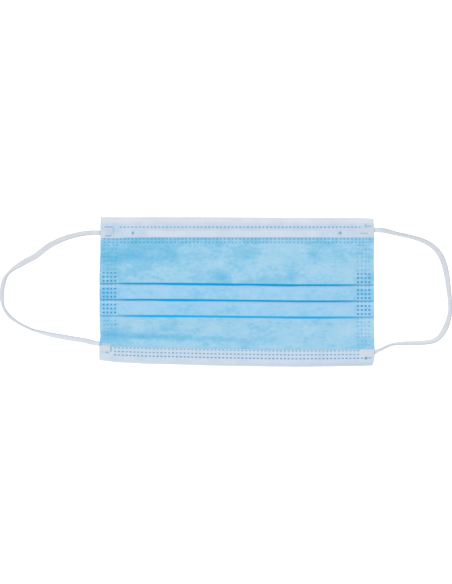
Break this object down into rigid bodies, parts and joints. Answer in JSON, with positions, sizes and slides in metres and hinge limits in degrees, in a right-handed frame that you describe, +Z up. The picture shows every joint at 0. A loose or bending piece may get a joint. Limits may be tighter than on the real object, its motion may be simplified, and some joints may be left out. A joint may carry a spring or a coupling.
{
  "type": "surgical face mask",
  "caption": "Flat pleated surgical face mask with white hems, a nose wire and elastic ear loops, lying front side up.",
  "frame": {"origin": "middle of the mask's footprint on the surface it lies on, ear loops not counted", "axes": "+X across the face towards the wearer's left ear side of the lying mask, +Y from the chin hem to the nose hem, +Z up out of the blue front"},
  "size_m": [0.2895, 0.096, 0.0053],
  "materials": {
    "outer_cloth": "matt light blue spunbond non-woven cloth with welded dots",
    "inner_cloth": "matt white spunbond non-woven cloth",
    "nose_wire": "white plastic coated wire",
    "elastic": "soft knitted off-white elastic"
  },
  "bodies": {
    "root": {"pleated_panel": "outer_cloth", "top_hem": "inner_cloth", "bottom_hem": "inner_cloth", "nose_wire": "nose_wire", "loop_end_top_left": "elastic", "loop_end_bottom_left": "elastic", "loop_end_top_right": "elastic", "loop_end_bottom_right": "elastic", "ear_loop_left": "elastic", "ear_loop_right": "elastic"}
  },
  "joints": []
}
